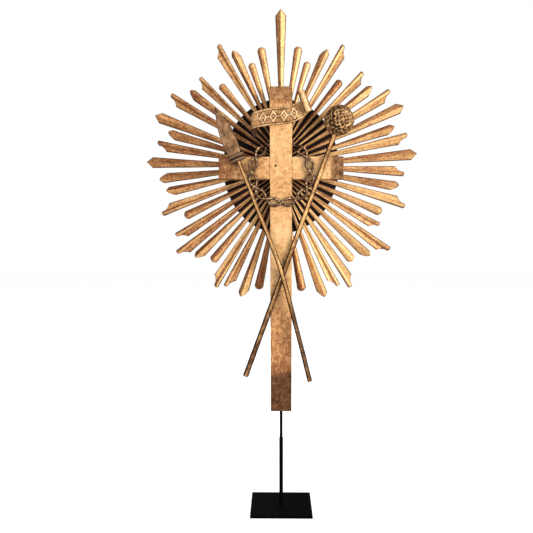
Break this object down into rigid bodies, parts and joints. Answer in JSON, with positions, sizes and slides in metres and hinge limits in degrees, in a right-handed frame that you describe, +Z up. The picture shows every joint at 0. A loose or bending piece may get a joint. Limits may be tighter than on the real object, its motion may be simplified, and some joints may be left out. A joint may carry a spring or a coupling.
{
  "type": "altar cross",
  "caption": "Gilded wooden altar cross with a sunburst of carved rays, a lance, a sponge on a reed, a crown of thorns and a scroll, standing on a square steel base with a rod.",
  "frame": {"origin": "centre of the base plate's underside, where the stand rests", "axes": "+Z up along the stand's rod, the front of the cross faces -Y, +X to the right as seen from the front"},
  "size_m": [0.5639, 0.127, 1.038],
  "materials": {
    "black_steel": "matte",
    "gilt_cross": "water gilding, worn",
    "gilt_rays": "water gilding over red bole, worn",
    "gilt_scroll": "dulled gilding",
    "gilt_shafts": "gilding, worn",
    "gilt_sponge": "dulled gilding with dark hollows",
    "bronzed_wood": "bronzed and dulled",
    "thorn_vine": "dark brown with traces of gold",
    "dark_board": "dark stain, matte",
    "iron": "rusted brown"
  },
  "bodies": {
    "stand": {"base_plate": "black_steel", "sleeve_tube": "black_steel", "sleeve_weld": "black_steel"},
    "rod": {"support_rod": "black_steel"},
    "cross": {"backplate": "dark_board", "cross_post": "gilt_cross", "crossbar": "gilt_cross", "crossing_nail": "iron", "crown_strand_inner": "thorn_vine", "crown_strand_outer": "thorn_vine", "hub_block": "dark_board", "hub_screws": "iron", "lance_blade": "bronzed_wood", "lance_collar": "bronzed_wood", "lance_shaft": "gilt_shafts", "ray_nails": "iron", "ray_pair_01": "gilt_rays", "ray_pair_02": "gilt_rays", "ray_pair_03": "gilt_rays", "ray_pair_04": "gilt_rays", "ray_pair_05": "gilt_rays", "ray_pair_06": "gilt_rays", "ray_pair_07": "gilt_rays", "ray_pair_08": "gilt_rays", "ray_pair_09": "gilt_rays", "ray_pair_10": "gilt_rays", "ray_pair_11": "gilt_rays", "ray_pair_12": "gilt_rays", "ray_pair_13": "gilt_rays", "ray_pair_14": "gilt_rays", "ray_pair_15": "gilt_rays", "ray_pair_16": "gilt_rays", "ray_pair_17": "gilt_rays", "ray_pair_18": "gilt_rays", "ray_pair_19": "gilt_rays", "ray_pair_20": "gilt_rays", "ray_pair_21": "gilt_rays", "ray_pair_22": "gilt_rays", "ray_pair_23": "gilt_rays", "ray_pair_24": "gilt_rays", "ray_top": "gilt_rays", "reed_shaft": "gilt_shafts", "scroll_nails": "iron", "sponge": "gilt_sponge", "titulus_scroll": "gilt_scroll"}
  },
  "joints": [
    {"name": "rod_lift", "type": "slide", "parent": "stand", "child": "rod", "axis": [0, 0, 1], "range_m": [0, 0.13]},
    {"name": "cross_swivel", "type": "hinge", "parent": "rod", "child": "cross", "pos_m": [0, 0, 0.236], "axis": [0, 0, 1], "continuous": true}
  ]
}
